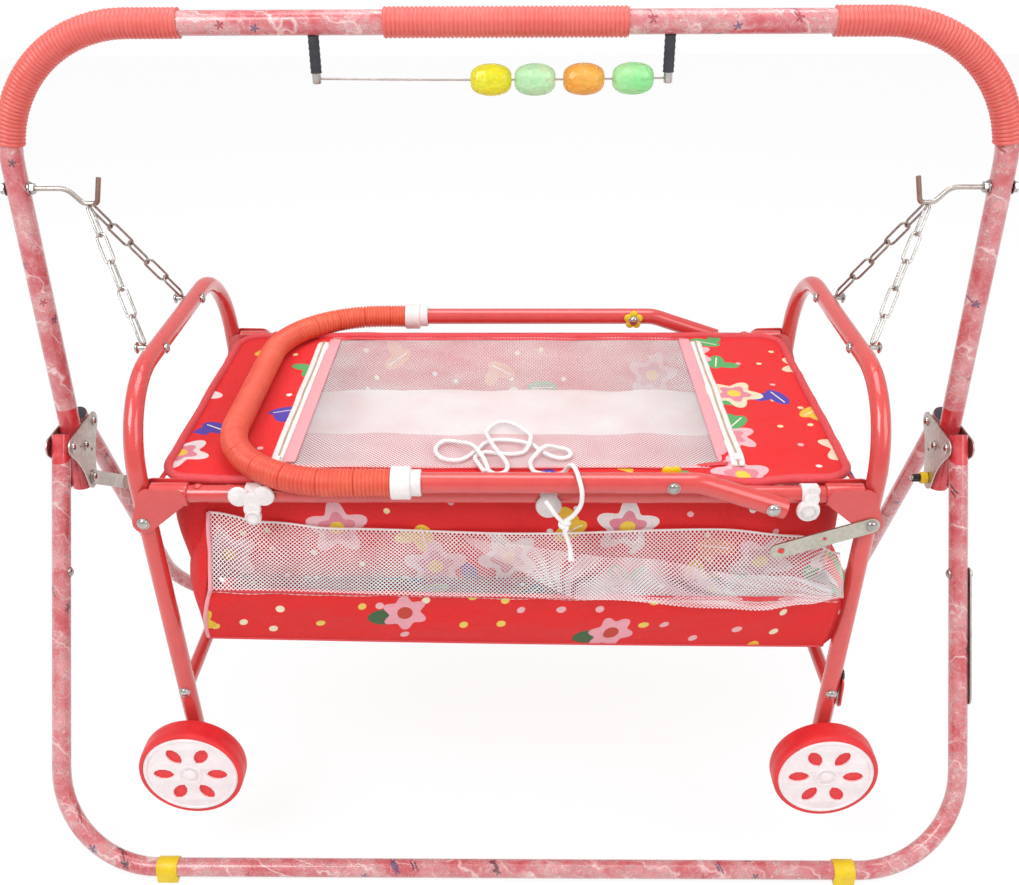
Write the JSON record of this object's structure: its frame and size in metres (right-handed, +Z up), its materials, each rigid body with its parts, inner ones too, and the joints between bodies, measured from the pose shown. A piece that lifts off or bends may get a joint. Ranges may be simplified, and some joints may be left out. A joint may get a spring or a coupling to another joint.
{
  "type": "swing cradle bassinet",
  "caption": "Baby cradle hung by chains from a folding tube stand, with a zipped net cover, a front pocket, a bent push handle, wheels and a bar of toy beads.",
  "frame": {"origin": "on the floor under the middle of the arch", "axes": "+X to the right, +Y to the back, +Z up"},
  "size_m": [1.1314, 0.5786, 0.9632],
  "materials": {
    "wrapped_tube": "painted steel tube under a printed clear film",
    "frame_paint": "glossy salmon red paint",
    "coral_hose": "corrugated soft plastic",
    "orange_hose": "corrugated soft plastic",
    "steel": "zinc plated",
    "black_rubber": "matt rubber",
    "yellow_plastic": "moulded",
    "mint_plastic": "clear moulded",
    "orange_plastic": "clear moulded",
    "green_plastic": "clear moulded",
    "red_cloth": "printed woven cloth",
    "white_net": "fine hexagonal net",
    "pale_cloth": "soft sheet",
    "white_plastic": "moulded",
    "red_plastic": "moulded",
    "pale_plastic": "moulded",
    "white_cord": "braided cord"
  },
  "bodies": {
    "stand": {"arch_tube": "wrapped_tube", "sleeve_left": "coral_hose", "sleeve_centre": "coral_hose", "sleeve_right": "coral_hose", "hook_left": "steel", "hook_right": "steel", "toy_bar": "black_rubber", "hinge_plate_inner_left": "steel", "hinge_plate_outer_left": "steel", "hinge_plate_inner_right": "steel", "hinge_plate_outer_right": "steel"},
    "front_leg": {"front_leg_frame": "wrapped_tube", "foot_band_front_left": "yellow_plastic", "foot_band_front_right": "yellow_plastic"},
    "rear_leg": {"rear_leg_frame": "wrapped_tube", "foot_band_rear_left": "yellow_plastic", "foot_band_rear_right": "yellow_plastic"},
    "brace": {"brace_strap": "steel"},
    "side_strap_body": {"side_strap": "steel"},
    "lock": {"lock_pin": "yellow_plastic"},
    "cradle": {"hoop_left": "frame_paint", "hoop_right": "frame_paint", "cross_tube_left": "frame_paint", "cross_tube_right": "frame_paint", "rail_front": "frame_paint", "rail_rear": "frame_paint", "basket_body": "red_cloth", "storage_basket": "red_cloth", "mattress": "pale_cloth", "top_cover": "red_cloth", "cover_net": "white_net", "pocket_net": "white_net", "drawstring": "white_cord", "clip_left": "white_plastic", "clip_right": "white_plastic", "chain_front_left": "steel", "axle_front_left": "steel", "chain_rear_left": "steel", "axle_rear_left": "steel", "chain_front_right": "steel", "axle_front_right": "steel", "chain_rear_right": "steel", "axle_rear_right": "steel"},
    "handle": {"handle_tube": "frame_paint", "handle_grip": "orange_hose", "collar_front": "white_plastic", "collar_rear": "white_plastic"},
    "rail_strap": {"lock_strap": "steel"},
    "wheel_front_left": {"wheel_tyre_front_left": "red_plastic", "wheel_disc_front_left": "pale_plastic"},
    "wheel_rear_left": {"wheel_tyre_rear_left": "red_plastic", "wheel_disc_rear_left": "pale_plastic"},
    "wheel_front_right": {"wheel_tyre_front_right": "red_plastic", "wheel_disc_front_right": "pale_plastic"},
    "wheel_rear_right": {"wheel_tyre_rear_right": "red_plastic", "wheel_disc_rear_right": "pale_plastic"},
    "toy_yellow": {"bead_yellow": "yellow_plastic"},
    "toy_mint": {"bead_mint": "mint_plastic"},
    "toy_orange": {"bead_orange": "orange_plastic"},
    "toy_green": {"bead_green": "green_plastic"}
  },
  "joints": [
    {"name": "front_leg_fold", "type": "hinge", "parent": "stand", "child": "front_leg", "pos_m": [0, -0.036, 0.465], "axis": [1, 0, 0], "range_deg": [0, 25]},
    {"name": "rear_leg_fold", "type": "hinge", "parent": "stand", "child": "rear_leg", "pos_m": [0, 0.036, 0.465], "axis": [-1, 0, 0], "range_deg": [0, 25]},
    {"name": "brace_lift", "type": "hinge", "parent": "stand", "child": "brace", "pos_m": [-0.53, 0, 0.403], "axis": [1, 0, 0], "range_deg": [0, 50]},
    {"name": "side_strap_swing", "type": "hinge", "parent": "front_leg", "child": "side_strap_body", "pos_m": [0.557, -0.10736, 0.33079], "axis": [1, 0, 0], "range_deg": [-60, 60]},
    {"name": "lock_pin_pull", "type": "slide", "parent": "stand", "child": "lock", "axis": [-1, 0, 0], "range_m": [0, 0.008], "stiffness_N_per_m": 150, "springref_m": -0.01},
    {"name": "cradle_swing", "type": "hinge", "parent": "stand", "child": "cradle", "pos_m": [0, 0, 0.757], "axis": [1, 0, 0], "range_deg": [-18, 18]},
    {"name": "handle_fold", "type": "hinge", "parent": "cradle", "child": "handle", "pos_m": [0.276, 0, 0.504], "axis": [0, 1, 0], "range_deg": [0, 35], "deforming": ["drawstring"]},
    {"name": "rail_strap_swing", "type": "hinge", "parent": "cradle", "child": "rail_strap", "pos_m": [0.3858, -0.224, 0.474], "axis": [0, 1, 0], "range_deg": [-15, 15]},
    {"name": "wheel_front_left_spin", "type": "hinge", "parent": "cradle", "child": "wheel_front_left", "pos_m": [-0.3727, -0.245, 0.148], "axis": [0, 1, 0], "continuous": true},
    {"name": "wheel_rear_left_spin", "type": "hinge", "parent": "cradle", "child": "wheel_rear_left", "pos_m": [-0.3727, 0.245, 0.148], "axis": [0, 1, 0], "continuous": true},
    {"name": "wheel_front_right_spin", "type": "hinge", "parent": "cradle", "child": "wheel_front_right", "pos_m": [0.3727, -0.245, 0.148], "axis": [0, 1, 0], "continuous": true},
    {"name": "wheel_rear_right_spin", "type": "hinge", "parent": "cradle", "child": "wheel_rear_right", "pos_m": [0.3727, 0.245, 0.148], "axis": [0, 1, 0], "continuous": true},
    {"name": "bead_yellow_spin", "type": "hinge", "parent": "stand", "child": "toy_yellow", "pos_m": [-0.016, 0, 0.8895], "axis": [1, 0, 0], "continuous": true},
    {"name": "bead_mint_spin", "type": "hinge", "parent": "stand", "child": "toy_mint", "pos_m": [0.0305, 0, 0.88961], "axis": [1, 0, 0], "continuous": true},
    {"name": "bead_orange_spin", "type": "hinge", "parent": "stand", "child": "toy_orange", "pos_m": [0.082, 0, 0.88998], "axis": [1, 0, 0], "continuous": true},
    {"name": "bead_green_spin", "type": "hinge", "parent": "stand", "child": "toy_green", "pos_m": [0.134, 0, 0.89054], "axis": [1, 0, 0], "continuous": true}
  ]
}
